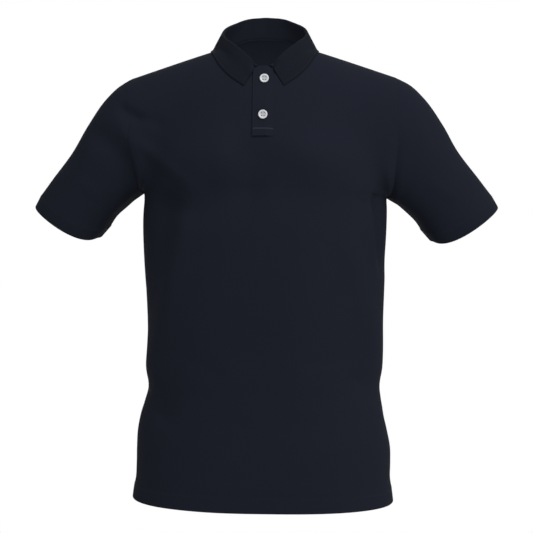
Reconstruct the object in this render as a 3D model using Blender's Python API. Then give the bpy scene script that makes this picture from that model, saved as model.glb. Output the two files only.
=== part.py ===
"""Short-sleeved polo shirt in the form it takes when worn, kept hollow.

Lengths are in millimetres and become metres when a mesh is made. The origin lies
between the two points where the shoulder seams meet the neck. +X is the wearer's
left, the front faces -Y and +Z is up.

The torso is a stack of level sections from the hem to the armpit, then rows that
climb over the chest or the back to the shoulder seam. The sleeves are rings from
the armhole to the cuff. The collar is one folded strip on the neck seam.
"""
import math

import bpy
import numpy as np

WALL = 1.5
SEAM = 0.3

HEM = -694.0
HEM_MINUS = -692.0
HEM_PLUS = -698.0
CHEST = -222.0
ARMPIT_MINUS = -222.0
ARMPIT_PLUS = -231.0
HEM_DROP_FRONT = 2.0
HEM_DROP_BACK = 5.0
NECK_HALF_WIDTH = 74.0
NECK_FRONT = 0.673
NECK_BACK = 0.82
SHOULDER_TOP = 13.4
SHOULDER_CURVE = 0.193
NAPE_RISE = 30.0
SQUARENESS = 2.5
BACK_ROUND = 0.714
FRONT_ROUND = 1.0
ARMHOLE_EASE = 1.25

PLACKET_LEFT = -16.5
PLACKET_RIGHT = 15.0
PLACKET_HEM = -148.5
PLACKET_TOP = -43.0
SLIT_HALF_WIDTH = 12.0
SLIT_ROW = 0.437

BUTTON_SPOTS = ((0.0, -61.1), (-1.6, -116.7))
BUTTON_SIDES = 20
# distance from the axis, height above the placket
BUTTON_PROFILE = ((6.0, 0.0), (7.0, 0.8), (7.0, 1.6), (6.3, 2.3), (5.2, 2.3), (4.4, 1.6))
BUTTON_MIDDLE = 1.5

# height, half-width to -X, half-width to +X, depth in front, depth behind
TORSO = np.array([
    (-697, 206.0, 198.0, 117, 113),
    (-677, 203.0, 195.0, 116, 113),
    (-663, 200.2, 192.8, 116, 113),
    (-640, 199.0, 193.0, 115, 112),
    (-615, 198.6, 192.5, 114, 110),
    (-590, 197.4, 187.7, 112, 107),
    (-565, 193.3, 182.0, 110, 103),
    (-545, 189.0, 179.3, 109, 100),
    (-527, 184.8, 177.6, 108, 98),
    (-511, 185.4, 177.8, 108, 97),
    (-495, 185.6, 179.3, 108, 97),
    (-470, 184.6, 180.0, 108, 97),
    (-429, 185.4, 181.0, 109, 97),
    (-382, 187.2, 183.6, 110, 99),
    (-335, 188.4, 185.8, 112, 102),
    (-268, 189.8, 189.0, 113, 108),
    (-222, 191.0, 191.2, 113, 110),
], float)

# share of the length, top x, top y, top z, bottom x, bottom y, bottom z,
# reach in front, reach behind, lean of the front half away from the body
SLEEVE_MINUS = np.array([
    (0.0, 208.0, 4, -45.5, 191.0, 0, -222.0, 60, 64, 0),
    (0.1, 228.5, 5, -58.0, 199.0, 1, -227.0, 62, 65, 0),
    (0.2, 246.5, 6, -75.0, 207.5, 3, -232.5, 62, 64, 0),
    (0.4, 275.8, 8, -116.0, 222.0, 6, -245.0, 60, 61, 3),
    (0.6, 301.5, 10, -159.0, 236.5, 8, -258.5, 57, 58, 6),
    (0.8, 333.0, 12, -200.0, 247.5, 10, -275.0, 54, 54, 10),
    (1.0, 362.5, 14, -240.0, 260.0, 12, -294.0, 52, 52, 14),
], float)
SLEEVE_PLUS = np.array([
    (0.0, 204.0, 4, -45.0, 191.2, 0, -231.0, 60, 64, 0),
    (0.1, 226.5, 5, -57.0, 199.5, 1, -236.0, 62, 65, 0),
    (0.2, 246.0, 6, -75.5, 208.0, 3, -240.5, 62, 64, 0),
    (0.4, 275.5, 8, -116.5, 222.5, 6, -252.5, 60, 61, 3),
    (0.6, 299.5, 10, -158.0, 237.0, 8, -267.0, 57, 58, 6),
    (0.8, 332.5, 12, -200.5, 247.5, 10, -282.5, 54, 54, 10),
    (1.0, 364.5, 14, -242.0, 259.0, 12, -300.0, 52, 52, 14),
], float)

# share of the neck seam from the nape, fold x, y, z, leaf edge x, y, z
COLLAR = np.array([
    (0.00, 0.0, 61, 63.5, 0.0, 76, 17),
    (0.14, 27.0, 55, 60.0, 33.0, 69, 14),
    (0.28, 47.0, 41, 50.5, 58.0, 54, 7),
    (0.41, 61.5, 19, 39.0, 76.0, 24, -1),
    (0.50, 65.5, 2, 28.0, 80.0, 0, -5),
    (0.58, 65.0, -11, 20.0, 79.5, -18, -13),
    (0.66, 60.5, -23, 12.0, 75.5, -36, -24),
    (0.77, 49.3, -44, 0.0, 66.0, -58, -39),
    (0.89, 29.0, -62, -19.0, 50.0, -78, -55),
    (1.00, 11.0, -72, -38.0, 30.0, -90, -69),
], float)
COLLAR_FOLD_RADIUS = 2.2
COLLAR_COLUMNS = 20
COLLAR_FOOT = 1.0
COLLAR_RISE = (0, 4, 7)
LEAF_OFF_CLOTH = 3.4

# side, start x, start z, end x, end z, width, depth (outwards)
FOLDS = (
    ("front", -205, -120, -152, -212, 19, -6),
    ("front", -155, -205, -150, -340, 26, -5),
    ("front", -122, -300, -168, -480, 20, 4),
    ("front", -212, -96, -168, -92, 17, -5),
    ("front", 190, -222, 145, -246, 14, -4),
    ("front", 122, -290, 170, -485, 20, 4),
    ("front", 182, -527, 118, -500, 17, -4),
    ("front", -186, -527, -118, -560, 18, -5),
    ("front", -90, -160, 90, -165, 40, 3),
    ("back", -188, -236, -120, -312, 20, -5),
    ("back", 185, -240, 120, -325, 22, -5),
    ("back", -155, -500, 40, -545, 22, -5),
    ("back", 170, -515, 60, -580, 20, -5),
    ("back", 0, -70, 0, -330, 45, -5),
)

HEIGHTS = np.array([
    -694, -682, -667, -645, -618, -590, -566, -546, -527, -511, -494, -470, -442,
    -412, -382, -352, -322, -296, -272, -252, -236, CHEST], float)
CLIMB = np.array([0, .07, .15, .24, .34, SLIT_ROW, .53, .62, .71, .79, .87, .94, 1])
NECK_TURN = np.radians([0, 22, 38, 54, 71, 90])
SIDE_TURN = np.radians([26, 34, 42, 50, 58, 66, 74, 82, 90])
SLEEVE_RINGS = np.array([0, .06, .13, .21, .31, .42, .53, .64, .75, .85, .93, 1])

CLOTH = (0.014, 0.017, 0.025)
PEARL = (0.80, 0.81, 0.82)


def smooth(at, table, column):
    """Value of a table's column between its rows, without corners."""
    known, values = table[:, 0], table[:, column]
    slope = np.gradient(values, known)
    at = np.clip(at, known[0], known[-1])
    i = np.clip(np.searchsorted(known, at) - 1, 0, len(known) - 2)
    step = known[i + 1] - known[i]
    t = (at - known[i]) / step
    start, end = values[i], values[i + 1]
    return (start * (2 * t**3 - 3 * t**2 + 1) + end * (3 * t**2 - 2 * t**3)
            + step * (slope[i] * (t**3 - 2 * t**2 + t) + slope[i + 1] * (t**3 - t**2)))


def stack(x, y, z):
    return np.stack(np.broadcast_arrays(x, y, z), axis=-1).astype(float)


def unit(v):
    return v / np.maximum(np.linalg.norm(v, axis=-1, keepdims=True), 1e-9)


def ring(side, along, turn, front):
    """Point of a sleeve: turn 0 under the arm to pi on top, by the front or the back."""
    table = SLEEVE_PLUS if side > 0 else SLEEVE_MINUS
    col = [smooth(along, table, k) for k in range(10)]
    top = stack(side * col[1], col[2], col[3])
    bottom = stack(side * col[4], col[5], col[6])
    axis = unit(stack(side * 0.5, 0.0, -0.87))
    reach = -col[7] if front else col[8]
    lean = col[9] if front else -col[9]
    sin, cos = np.sin(turn), np.cos(turn)
    middle = (top + bottom) / 2 - cos[..., None] * (top - bottom) / 2
    return middle + stack(0, reach * sin, 0) + axis * (lean * sin * (1 + 0.4 * cos))[..., None]


def edge(side, up, front):
    """Side seam below the armpit (up 0 to 1) and armhole above it (1 to 2)."""
    turn = np.pi * np.clip(up - 1, 0, 1)
    hole = ring(side, np.zeros_like(up), turn, front)
    hem, armpit = (HEM_PLUS, ARMPIT_PLUS) if side > 0 else (HEM_MINUS, ARMPIT_MINUS)
    height = hem + np.clip(up, 0, 1) * (armpit - hem)
    width = smooth(height, TORSO, 2 if side > 0 else 1)
    below = stack(side * width, 0, height)
    return np.where((up > 1)[..., None], hole, below)


def centre(up, front):
    """Middle line of the front or the back: depth and height."""
    drop = HEM_DROP_FRONT if front else HEM_DROP_BACK
    height = HEM - drop + np.clip(up, 0, 1) * (CHEST - HEM + drop)
    depth = smooth(height, TORSO, 3 if front else 4)
    turn = np.pi / 2 * np.clip(up - 1, 0, 1) ** 1.5
    top = SHOULDER_TOP if front else SHOULDER_TOP + NAPE_RISE
    power = FRONT_ROUND if front else BACK_ROUND
    y = depth * np.clip(np.cos(turn), 0, 1) ** power
    z = np.where(up > 1, CHEST + (top - CHEST) * np.sin(turn) ** power, height)
    return (-y if front else y), z


def neck_share(side):
    """Where the neck's edge lies on the shoulder seam, as a share of its whole width."""
    return NECK_HALF_WIDTH / ring(side, np.zeros(1), np.full(1, np.pi), True)[0, 0] * side


def oval(across):
    """How far a squared-off oval falls from its middle (0) to its end (1)."""
    return 1 - (1 - np.clip(across, 0, 1) ** SQUARENESS) ** (1 / SQUARENESS)


def torso(side, across, up, front):
    """Point of the torso: across 0 in the middle to 1 at the side seam or armhole."""
    end = edge(side, up, front)
    y_mid, z_mid = centre(up, front)
    v = np.clip(up - 1, 0, 1)
    flat = v**3 * (6 * v**2 - 15 * v + 10)
    bow = (1 - flat) * oval(across) + flat * oval(across * 0.6) / oval(0.6)
    outer = np.hypot(1, SHOULDER_CURVE)
    slope = (outer - np.hypot(across, SHOULDER_CURVE)) / (outer - SHOULDER_CURVE)
    if not front:
        rise = NAPE_RISE * (1 - np.clip(across / neck_share(side), 0, 1) ** 4) ** 2
        fall = SHOULDER_TOP - end[..., 2]
        slope = (fall * slope + rise) / (fall + NAPE_RISE)
    blend = v * v * (3 - 2 * v)
    share = (1 - blend) * (1 - across**2) + blend * slope
    x = end[..., 0] * across
    climbed = np.clip(end[..., 2] - (ARMPIT_PLUS if side > 0 else ARMPIT_MINUS), 0, None)
    inwards = ARMHOLE_EASE * (abs(end[..., 0]) - abs(x))
    y_end = end[..., 1] * climbed**2 / (climbed**2 + inwards**2 + 1e-9)
    y = y_mid + (y_end - y_mid) * bow
    z = end[..., 2] + (z_mid - end[..., 2]) * share
    return stack(x, y, z)


def half_columns(side, front):
    """Across values of half a panel from the middle outwards, and the neck's cut."""
    turn, low = NECK_TURN, NECK_BACK
    if front:
        slit = math.asin(SLIT_HALF_WIDTH / NECK_HALF_WIDTH)
        turn, low = np.concatenate([[0, slit], NECK_TURN[1:]]), NECK_FRONT
    across = np.concatenate([neck_share(side) * np.sin(turn),
                             np.sin(SIDE_TURN) ** (2 / SQUARENESS)])
    cut = np.concatenate([1 - (1 - low) * np.cos(turn), np.ones(len(SIDE_TURN))])
    return across, cut


def fold_depth(points):
    """How far the folds push each point out of the smooth form."""
    total = np.zeros(points.shape[:-1])
    facing = 1 / (1 + np.exp(np.clip(points[..., 1] / 6.0, -40, 40)))
    for name, x0, z0, x1, z1, width, depth in FOLDS:
        along = np.array([x1 - x0, z1 - z0], float)
        length = np.hypot(*along)
        along /= length
        dx, dz = points[..., 0] - x0, points[..., 2] - z0
        t = (dx * along[0] + dz * along[1]) / length
        off = dx * along[1] - dz * along[0]
        ends = np.clip(np.minimum(t + 0.25, 1.25 - t) / 0.5, 0, 1)
        side = facing if name == "front" else 1 - facing
        total += depth * side * np.exp(-(off / width) ** 2) * (3 * ends**2 - 2 * ends**3)
    return total


def normals(grid, around=False):
    """Outward directions of a grid from its neighbours' differences."""
    down = np.gradient(grid, axis=0)
    if around:
        wide = np.concatenate([grid[:, -1:], grid, grid[:, :1]], axis=1)
        along = np.gradient(wide, axis=1)[:, 1:-1]
    else:
        along = np.gradient(grid, axis=1)
    return unit(np.cross(along, down))


def share_out(*edges):
    """Give edges that meet in a seam one common direction."""
    both = unit(sum(edges))
    for edge_part in edges:
        edge_part[...] = both


def cloth_normals(grids):
    """Outward directions of the panels and sleeves, equal on both sides of a seam."""
    out = {name: normals(grid, name.startswith("sleeve")) for name, grid in grids.items()}
    front, back = out["front"], out["back"]
    low, count, seam = len(HEIGHTS) - 1, len(CLIMB), len(SIDE_TURN) + 1
    share_out(front[-1, :seam], back[-1, :-seam - 1:-1])
    share_out(front[-1, -seam:], back[-1, seam - 1::-1])
    for name, column in (("sleeve_right", 0), ("sleeve_left", -1)):
        fore, aft = front[:, column], back[:, -1 - column]
        share_out(fore[:low], aft[:low])
        loop = out[name][0] if column == 0 else out[name][0, ::-1]
        share_out(fore[low + 1:-1], loop[1:count - 1])
        share_out(aft[low + 1:-1], loop[:count - 1:-1])
        share_out(fore[low], aft[low], loop[0])
        share_out(fore[-1], aft[-1], loop[count - 1])
    return out


def panel(front):
    """Front or back panel: rows from the hem up, columns from -X to +X."""
    up_low = (HEIGHTS - HEM) / (CHEST - HEM)
    halves = []
    for side in (-1, 1):
        across, cut = half_columns(side, front)
        climb = CLIMB[1:, None] - (1 - cut[None, :]) * CLIMB[1:, None] ** 2
        low = np.repeat(up_low[:, None], len(across), axis=1)
        up = np.concatenate([low, 1 + climb])
        halves.append(torso(side, np.broadcast_to(across, up.shape), up, front))
    grid = np.concatenate([halves[0][:, :0:-1], halves[1]], axis=1)
    return grid if front else grid[:, ::-1]


def sleeve(side):
    """Sleeve rings from the armhole to the cuff, closed round the arm."""
    turn = np.pi * CLIMB
    along = np.broadcast_to(SLEEVE_RINGS[:, None], (len(SLEEVE_RINGS), len(turn)))
    round_front = ring(side, along, np.broadcast_to(turn, along.shape), True)
    round_back = ring(side, along, np.broadcast_to(turn, along.shape), False)
    grid = np.concatenate([round_front, round_back[:, -2:0:-1]], axis=1)
    return grid if side < 0 else grid[:, ::-1]


def mesh_object(name, vertices, faces, colour):
    """Solid of its own with its own material."""
    material = bpy.data.materials.new(name + "_surface")
    material.use_nodes = True
    shader = material.node_tree.nodes["Principled BSDF"]
    shader.inputs["Base Color"].default_value = (*colour, 1.0)
    shader.inputs["Roughness"].default_value = 0.3 if colour == PEARL else 0.85
    mesh = bpy.data.meshes.new(name)
    mesh.from_pydata((vertices * 0.001).tolist(), [], faces)
    mesh.update()
    item = bpy.data.objects.new(name, mesh)
    bpy.context.scene.collection.objects.link(item)
    mesh.materials.append(material)
    return item


def volume(vertices, faces):
    total = 0.0
    for face in faces:
        a = vertices[face[0]]
        for k in range(1, len(face) - 1):
            total += float(np.dot(a, np.cross(vertices[face[k]], vertices[face[k + 1]])))
    return total / 6


def shell(name, outer, inner, colour, keep=None, around=False):
    """Closed wall between two grids of the same shape, without the cells not kept."""
    rows, cols = outer.shape[:2]
    if keep is None:
        keep = np.ones((rows - 1, cols if around else cols - 1), bool)
    points = np.concatenate([outer.reshape(-1, 3), inner.reshape(-1, 3)])
    shift = rows * cols
    faces, edges = [], {}
    for r, c in zip(*np.nonzero(keep)):
        d = (c + 1) % cols
        quad = [r * cols + c, r * cols + d, (r + 1) * cols + d, (r + 1) * cols + c]
        faces.append(quad)
        faces.append([k + shift for k in reversed(quad)])
        for a, b in zip(quad, quad[1:] + quad[:1]):
            if (b, a) in edges:
                del edges[(b, a)]
            else:
                edges[(a, b)] = True
    for a, b in edges:
        if points[a, 2] > points[b, 2]:
            faces += [[b, a, b + shift], [a, a + shift, b + shift]]
        else:
            faces += [[b, a, a + shift], [b, a + shift, b + shift]]
    used = np.unique(np.array([k for face in faces for k in face]))
    new = {int(k): i for i, k in enumerate(used)}
    faces = [[new[int(k)] for k in face] for face in faces]
    points = points[used]
    if volume(points, faces) < 0:
        faces = [face[::-1] for face in faces]
    return mesh_object(name, points, faces, colour)


def clear_scene():
    for item in list(bpy.data.objects):
        bpy.data.objects.remove(item, do_unlink=True)


def inward(line, out, into, around=False):
    """Directions that lead from an edge into its cloth, square to the edge."""
    run = np.roll(line, -1, 0) - np.roll(line, 1, 0) if around else np.gradient(line, axis=0)
    way = unit(np.cross(out, run))
    middle = len(line) // 4
    return way * np.sign(np.dot(way[middle], into[middle] - line[middle]))


def drawn_in(grid, out, name):
    """Pull the edges that meet another piece half a seam inwards."""
    drawn, half, low = grid.copy(), SEAM / 2, len(HEIGHTS) - 1
    if name.startswith("sleeve"):
        drawn[0] += inward(grid[0], out[0], grid[1], True) * half
        return drawn
    for column, beside in ((0, 1), (-1, -2)):
        for rows in (slice(0, low + 1), slice(low, None)):
            drawn[rows, column] += half * inward(
                grid[rows, column], out[rows, column], grid[rows, beside])
    drawn[-1] += inward(grid[-1], out[-1], grid[-2]) * half
    return drawn


def finer(grid, times=4):
    """The same surface with more points between its rows and columns."""
    for axis in (0, 1):
        count = grid.shape[axis]
        at = np.linspace(0, count - 1, (count - 1) * times + 1)
        low = np.clip(at.astype(int), 0, count - 2)
        share = (at - low).reshape([-1 if k == axis else 1 for k in range(3)])
        grid = (np.take(grid, low, axis) * (1 - share) + np.take(grid, low + 1, axis) * share)
    return grid


def clear_of(points, ground, ground_normals, gap):
    """Points moved out until they are the gap above the nearest ground point."""
    flat, up = ground.reshape(-1, 3), ground_normals.reshape(-1, 3)
    out = points.copy().reshape(-1, 3)
    for i, p in enumerate(out):
        near = np.argmin(((flat - p) ** 2).sum(axis=1))
        height = float(np.dot(p - flat[near], up[near]))
        if height < gap:
            out[i] = p + up[near] * (gap - height)
    return out.reshape(points.shape)


def neck_line(side, count=81):
    """Neck seam from the nape to the end of the collar in front, evenly spaced."""
    neck = neck_share(side)
    turn = np.linspace(0, np.pi / 2, 200)
    back = torso(side, neck * np.sin(turn), 2 - (1 - NECK_BACK) * np.cos(turn), False)
    end = math.asin(SLIT_HALF_WIDTH / NECK_HALF_WIDTH)
    turn = np.linspace(np.pi / 2, end, 200)
    fore = torso(side, neck * np.sin(turn), 2 - (1 - NECK_FRONT) * np.cos(turn), True)
    path = np.concatenate([back, fore[1:]])
    length = np.concatenate([[0], np.cumsum(np.linalg.norm(np.diff(path, axis=0), axis=1))])
    at = np.linspace(0, length[-1], count)
    return np.stack([np.interp(at, length, path[:, k]) for k in range(3)], axis=1)


def collar(ground, ground_normals):
    """Stand, fold and leaf as one strip: columns round the neck, rows seam to edge."""
    share = np.linspace(0, 1, COLLAR_COLUMNS)
    sides = []
    for side in (-1, 1):
        line = neck_line(side)
        seam = np.stack([np.interp(share, np.linspace(0, 1, len(line)), line[:, k])
                         for k in range(3)], axis=1)
        fold = np.stack([smooth(share, COLLAR, k) for k in (1, 2, 3)], axis=1)
        leaf = np.stack([smooth(share, COLLAR, k) for k in (4, 5, 6)], axis=1)
        fold[:, 0] *= side
        leaf[:, 0] *= side
        sides.append((seam, fold, leaf))
    seam, fold, leaf = (np.concatenate([a[:0:-1], b]) for a, b in zip(*sides))
    run = unit(np.gradient(fold, axis=0))
    rise = fold - seam + np.array(COLLAR_RISE)
    rise = unit(rise - run * (rise * run).sum(axis=1, keepdims=True))
    out = np.cross(run, rise)
    out *= np.sign((out * (leaf - seam)).sum(axis=1, keepdims=True))
    foot, head = seam + rise * COLLAR_FOOT, fold - out * COLLAR_FOLD_RADIUS
    start = fold + out * COLLAR_FOLD_RADIUS
    stand = np.stack([foot + (head - foot) * t for t in (0.0, 0.35, 0.7)])
    bend = np.stack([fold + (rise * math.sin(t) - out * math.cos(t)) * COLLAR_FOLD_RADIUS
                     for t in np.linspace(0, math.pi, 6)])
    fall = np.stack([start + (leaf - start) * t for t in (0.2, 0.4, 0.6, 0.8, 1.0)])
    for _ in range(2):
        fall = clear_of(fall, ground, ground_normals, LEAF_OFF_CLOTH)
    return np.concatenate([stand, bend, fall])


def strip(x_values, z_values, lift):
    """Band of the front's middle moved out by the lift."""
    up = np.linspace(1, 2, 400)
    _, height = centre(up, True)
    rows = []
    for z in z_values:
        at = np.interp(z, height, up)
        row = []
        for x in x_values:
            side = 1 if x >= 0 else -1
            width = abs(edge(side, np.full(1, at), True)[0, 0])
            row.append(torso(side, np.full(1, abs(x) / width), np.full(1, at), True)[0])
        rows.append(row)
    grid = np.array(rows)
    grid += normals(grid) * fold_depth(grid)[..., None]
    out = normals(grid)
    return grid + out * lift, out


def button(name, x, z, lift):
    """Round button with a raised rim, lying on the placket."""
    base, out = strip((x - 4, x, x + 4), (z - 4, z, z + 4), lift)
    middle, face = base[1, 1], out[1, 1]
    right = unit(np.cross(np.array([0, 0, 1.0]), face))
    top = np.cross(face, right)
    angle = np.linspace(0, 2 * np.pi, BUTTON_SIDES, endpoint=False)
    around = np.outer(np.cos(angle), right) + np.outer(np.sin(angle), top)
    rings = [middle + around * radius + face * height for radius, height in BUTTON_PROFILE]
    points = np.concatenate(rings + [[middle, middle + face * BUTTON_MIDDLE]])
    under, over, last = len(points) - 2, len(points) - 1, len(points) - 2 - BUTTON_SIDES
    faces = []
    for k in range(BUTTON_SIDES):
        beside = (k + 1) % BUTTON_SIDES
        faces.append([under, beside, k])
        faces.append([last + k, last + beside, over])
        for low in range(0, last, BUTTON_SIDES):
            high = low + BUTTON_SIDES
            faces.append([low + k, low + beside, high + beside, high + k])
    if volume(points, faces) < 0:
        faces = [face[::-1] for face in faces]
    return mesh_object(name, points, faces, PEARL)


def cloth_pieces():
    """Front, back and sleeves; their grids and outward directions for what lies on them."""
    grids = {"front": panel(True), "back": panel(False),
             "sleeve_right": sleeve(-1), "sleeve_left": sleeve(1)}
    plain_out = cloth_normals(grids)
    grids = {name: grid + plain_out[name] * fold_depth(grid)[..., None]
             for name, grid in grids.items()}
    out = cloth_normals(grids)
    rows, columns = grids["front"].shape[:2]
    slit = np.ones((rows - 1, columns - 1), bool)
    first = len(HEIGHTS) - 1 + int(np.argmin(abs(CLIMB - SLIT_ROW)))
    slit[first:, columns // 2 - 1:columns // 2 + 1] = False
    for name, grid in grids.items():
        drawn = drawn_in(grid, out[name], name)
        shell(name, drawn, drawn - out[name] * WALL, CLOTH,
              slit if name == "front" else None, name.startswith("sleeve"))
    return grids, out


def placket():
    """Two bands over and under the slit; the upper one's grid and outward directions."""
    under, under_out = strip(np.linspace(PLACKET_LEFT + 1.5, PLACKET_RIGHT - 1.5, 6),
                             np.linspace(PLACKET_HEM, PLACKET_TOP - 2, 11), -2 * SEAM - WALL)
    shell("placket_under", under, under - under_out * WALL, CLOTH)
    upper, upper_out = strip(np.linspace(PLACKET_LEFT, PLACKET_RIGHT, 6),
                             np.linspace(PLACKET_HEM, PLACKET_TOP, 11), 2 * SEAM + WALL)
    shell("placket_upper", upper, upper - upper_out * WALL, CLOTH)
    return upper, upper_out


def build():
    clear_scene()
    grids, out = cloth_pieces()
    upper, upper_out = placket()
    chest = len(HEIGHTS) - 1
    under = (grids["front"][chest:], grids["back"][chest:], upper)
    under_out = (out["front"][chest:], out["back"][chest:], upper_out)
    ground = np.concatenate([finer(grid).reshape(-1, 3) for grid in under])
    ground_out = np.concatenate([finer(grid).reshape(-1, 3) for grid in under_out])
    folded = collar(ground, ground_out)
    folded_out = normals(folded)
    folded_out *= np.sign(folded_out[6, folded_out.shape[1] // 2, 2])
    shell("collar", folded, folded - folded_out * WALL, CLOTH)
    for name, (x, z) in zip(("button_upper", "button_lower"), BUTTON_SPOTS):
        button(name, x, z, 3 * SEAM + WALL)


build()
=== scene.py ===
"""Navy short-sleeved polo shirt in its worn form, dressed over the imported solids.

Lengths in the tables are millimetres and become metres when a mesh is made. +X is the
wearer's left, the front faces -Y and +Z is up. Each piece of cloth is a middle surface,
a function of two parameters on a grid, with a wall of even thickness round it.
"""

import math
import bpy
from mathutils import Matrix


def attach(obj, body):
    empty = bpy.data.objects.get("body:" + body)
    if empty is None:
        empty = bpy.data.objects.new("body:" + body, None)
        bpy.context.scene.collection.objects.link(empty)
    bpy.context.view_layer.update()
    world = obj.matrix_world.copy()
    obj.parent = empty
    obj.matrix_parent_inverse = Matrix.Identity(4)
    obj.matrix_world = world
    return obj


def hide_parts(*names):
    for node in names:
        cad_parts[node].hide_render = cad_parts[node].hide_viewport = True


bl_info = {
    "name": "Polo shirt",
    "version": (1, 0, 0),
    "blender": (4, 5, 0),
    "location": "3D View > Sidebar > Polo shirt",
    "description": "Builds a worn, hollow polo shirt with its collar, placket, buttons and stitching",
    "category": "Add Mesh",
}

import bpy
import numpy as np
from bpy.props import FloatProperty, FloatVectorProperty, PointerProperty

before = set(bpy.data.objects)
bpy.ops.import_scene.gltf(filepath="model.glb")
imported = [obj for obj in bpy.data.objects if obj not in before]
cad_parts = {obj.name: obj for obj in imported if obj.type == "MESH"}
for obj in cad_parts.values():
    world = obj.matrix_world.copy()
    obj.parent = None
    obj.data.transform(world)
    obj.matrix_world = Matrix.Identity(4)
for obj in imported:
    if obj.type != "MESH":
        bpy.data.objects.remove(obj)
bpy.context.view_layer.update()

# thickness of the knit, and the gap that a seam keeps
WALL, SEAM = 1.5, 0.3
# heights of the hem and the armpits: in the middle, and at the side seams to -X and +X
HEM, HEM_MINUS, HEM_PLUS = -694.0, -692.0, -698.0
HEM_DROP_FRONT, HEM_DROP_BACK = 2.0, 5.0
CHEST, ARMPIT_MINUS, ARMPIT_PLUS = -222.0, -222.0, -231.0
# torso: powers of its oval and of its middle lines above the chest, the shoulder's slope, how
# soon the armhole's depth is lost inwards, the share of the way up over which the chest turns
# flat, and the share of the oval that is left then
SQUARENESS, BACK_ROUND, FRONT_ROUND, LATE_BEND = 2.5, 0.714, 1.0, 1.5
SHOULDER_TOP, SHOULDER_CURVE, NAPE_RISE = 13.4, 0.193, 30.0
ARMHOLE_EASE, CHEST_FLAT, FLAT_SHARE = 1.25, 0.62, 0.6
# neck: half its width, its lowest points as shares of the way from the chest to the shoulder,
# and the number of points on half of its seam
NECK_HALF_WIDTH, NECK_FRONT, NECK_BACK, NECK_POINTS = 74.0, 0.673, 0.82, 81
# armhole seam: how far its layers fill it, their reach, the powers that gather this fill low
# down, and the width over which both cloths face one way
ARMHOLE_FILL, ARMHOLE_REACH, FILL_SKEW, FILL_POWER, SEAM_LEAD = 8.0, 20.0, 0.6, 1.3, 18.0
# sleeve: power of its oval, how much squarer it is under the arm, the share of the length
# over which that grows, the way in which it leans, and how much more it leans at the bottom
SLEEVE_ROUND, SLEEVE_SQUARE, SQUARE_REACH = 0.9, 0.2, 0.3
SLEEVE_LEAN, LOW_LEAN = (0.5, 0.0, -0.87), 0.4
# folds: depth over which one of the front gives way to the back at the side, and the share of
# its length by which each runs on past its ends
FACE_BLEND, FOLD_END = 6.0, 0.25
# turned hem and cuffs: rows of stitches below the turn, their width and depth, the doubled
# knit inside, and for the hem and the cuffs how far the band stands out and draws in at its edge
HEM_ROWS, ROW_WIDTH, ROW_DEPTH, DOUBLED = (0.6, 3.0), 0.55, 0.25, 0.5
HEM_BAND, CUFF_BAND = (0.4, 0.5), (0.8, 3.2)
# share of the wall that is left at a rounded edge
EDGE_WALL = 0.3
# placket: its sides, foot and top, and the bar across it
PLACKET_LEFT, PLACKET_RIGHT = -16.5, 15.0
PLACKET_HEM, PLACKET_TOP, PLACKET_STITCH = -148.5, -43.0, -136.0
# how far its top stands up and over what length, how far it lies off the front, the width that
# is sewn flat with its wall and depth there, and the distance of the stitches from its edge
PLACKET_RISE, RISE_LENGTH, PLACKET_LIFT = 4.0, 14.0, 1.7
PLACKET_FLAT, FLAT_WALL, FLAT_DEPTH, PLACKET_ROW = 13.0, 0.3, 1.15, 2.0
# the slit under it, and the share of the climb where that starts
SLIT_HALF_WIDTH, SLIT_ROW = 12.0, 0.437
# collar: its fold, the foot of its stand, the lean of the stand, the leaf's gap to the cloth,
# how far it may be laid down to it, and the share of the neck seam from which it is
COLLAR_WALL, COLLAR_FOLD_RADIUS, COLLAR_COLUMNS, COLLAR_FOOT = 2.0, 2.2, 20, 1.0
COLLAR_RISE, LEAF_OFF_CLOTH, LEAF_FALL, LEAF_LAID = (0, 4, 7), 1.6, 3.5, 0.56
# rows of the collar's form at which the fold and the leaf below it start, and the distance
# from its edge at which it is stitched
FOLD_ROW, LEAF_ROW, COLLAR_STITCH = 7, 8.3, 4.0
# height of the stitches above the cloth, and the part round the neck that the collar may touch
THREAD_LIFT, NECK_REACH = 0.02, 120.0

# height, half-width to -X, half-width to +X, depth in front, depth behind
TORSO = np.array([
    (-697, 206.0, 198.0, 117, 113), (-677, 203.0, 195.0, 116, 113),
    (-663, 200.2, 192.8, 116, 113), (-640, 199.0, 193.0, 115, 112),
    (-615, 198.6, 192.5, 114, 110), (-590, 197.4, 187.7, 112, 107),
    (-565, 193.3, 182.0, 110, 103), (-545, 189.0, 179.3, 109, 100),
    (-527, 184.8, 177.6, 108, 98), (-511, 185.4, 177.8, 108, 97),
    (-495, 185.6, 179.3, 108, 97), (-470, 184.6, 180.0, 108, 97),
    (-429, 185.4, 181.0, 109, 97), (-382, 187.2, 183.6, 110, 99),
    (-335, 188.4, 185.8, 112, 102), (-268, 189.8, 189.0, 113, 108),
    (-222, 191.0, 191.2, 113, 110)], float)

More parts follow.
